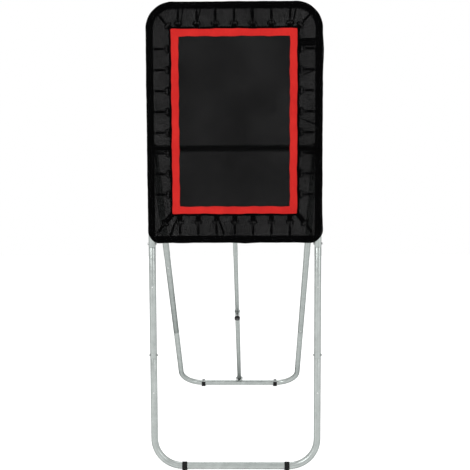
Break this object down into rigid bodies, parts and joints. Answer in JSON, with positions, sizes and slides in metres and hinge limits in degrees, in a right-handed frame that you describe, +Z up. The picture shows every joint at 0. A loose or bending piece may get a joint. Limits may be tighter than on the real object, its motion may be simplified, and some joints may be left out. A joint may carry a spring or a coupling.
{
  "type": "lacrosse rebounder",
  "caption": "Folding lacrosse rebounder: sprung net panel with a target band on a leaning stand of round steel tube, held open by a telescopic strut with a clamp knob.",
  "frame": {"origin": "on the floor, midway between the extremes of the part in X and Y", "axes": "+Z up, the net faces -Y, +X to the right of someone facing the net"},
  "size_m": [0.6866, 1.2576, 1.837],
  "materials": {
    "tube_steel": "galvanised round tube, satin with fine lengthwise streaks",
    "zinc_steel": "zinc plated fasteners",
    "spring_wire": "plated spring wire",
    "net_mesh": "close woven black net",
    "cover_mesh": "fine black mesh over the springs",
    "sleeve_fabric": "black woven sleeve and hem",
    "target_red": "red woven webbing",
    "foot_rubber": "matte black rubber",
    "knob_plastic": "moulded black plastic"
  },
  "bodies": {
    "front_frame": {"front_arch_tube": "tube_steel", "front_cross_tube": "tube_steel", "front_leg_left": "tube_steel", "front_leg_right": "tube_steel", "front_foot_tube": "tube_steel", "joint_screw_left_upper": "zinc_steel", "joint_screw_left_lower": "zinc_steel", "joint_screw_right_upper": "zinc_steel", "joint_screw_right_lower": "zinc_steel", "rebound_net": "net_mesh", "target_band": "target_red", "spring_cover": "cover_mesh", "frame_sleeve_upper": "sleeve_fabric", "frame_sleeve_lower": "sleeve_fabric", "front_foot_left": "foot_rubber", "front_foot_right": "foot_rubber", "spring_left_1": "spring_wire", "spring_left_2": "spring_wire", "spring_left_3": "spring_wire", "spring_left_4": "spring_wire", "spring_left_5": "spring_wire", "spring_left_6": "spring_wire", "spring_left_7": "spring_wire", "spring_left_8": "spring_wire", "spring_right_1": "spring_wire", "spring_right_2": "spring_wire", "spring_right_3": "spring_wire", "spring_right_4": "spring_wire", "spring_right_5": "spring_wire", "spring_right_6": "spring_wire", "spring_right_7": "spring_wire", "spring_right_8": "spring_wire", "spring_top_1": "spring_wire", "spring_top_2": "spring_wire", "spring_top_3": "spring_wire", "spring_top_4": "spring_wire", "spring_top_5": "spring_wire", "spring_top_6": "spring_wire", "spring_top_7": "spring_wire", "spring_bottom_1": "spring_wire", "spring_bottom_2": "spring_wire", "spring_bottom_3": "spring_wire", "spring_bottom_4": "spring_wire", "spring_bottom_5": "spring_wire", "spring_bottom_6": "spring_wire", "spring_bottom_7": "spring_wire"},
    "rear_frame": {"rear_leg_left": "tube_steel", "rear_leg_right": "tube_steel", "rear_crossbar": "tube_steel", "rear_foot_tube": "tube_steel", "pivot_bolt_left": "zinc_steel", "pivot_bolt_right": "zinc_steel", "rear_foot_left": "foot_rubber", "rear_foot_right": "foot_rubber"},
    "strut_lower": {"strut_tube": "tube_steel", "strut_pin_lower": "zinc_steel", "clamp_boss": "zinc_steel"},
    "strut_upper": {"strut_rod": "tube_steel", "strut_pin_upper": "zinc_steel"},
    "clamp": {"clamp_knob": "knob_plastic"}
  },
  "joints": [
    {"name": "rear_fold", "type": "hinge", "parent": "front_frame", "child": "rear_frame", "pos_m": [0, -0.57675, 1.281], "axis": [-1, 0, 0], "range_deg": [0, 40.6]},
    {"name": "strut_turn", "type": "hinge", "parent": "rear_frame", "child": "strut_lower", "pos_m": [0, 0.60171, 0.04545], "axis": [-1, 0, 0], "range_deg": [0, 8.7]},
    {"name": "strut_slide", "type": "slide", "parent": "strut_lower", "child": "strut_upper", "axis": [0, 0.8017, -0.5978], "range_m": [0, 0.1205]},
    {"name": "clamp_turn", "type": "hinge", "parent": "strut_lower", "child": "clamp", "pos_m": [0, -0.04643, 0.52876], "axis": [0, -0.5978, -0.8017], "range_deg": [0, 720]}
  ],
  "couplings": [
    {"joint": "strut_turn", "follows": "rear_fold", "ratio": 0.21403},
    {"joint": "strut_slide", "follows": "rear_fold", "m_per_rad": 0.16988}
  ]
}
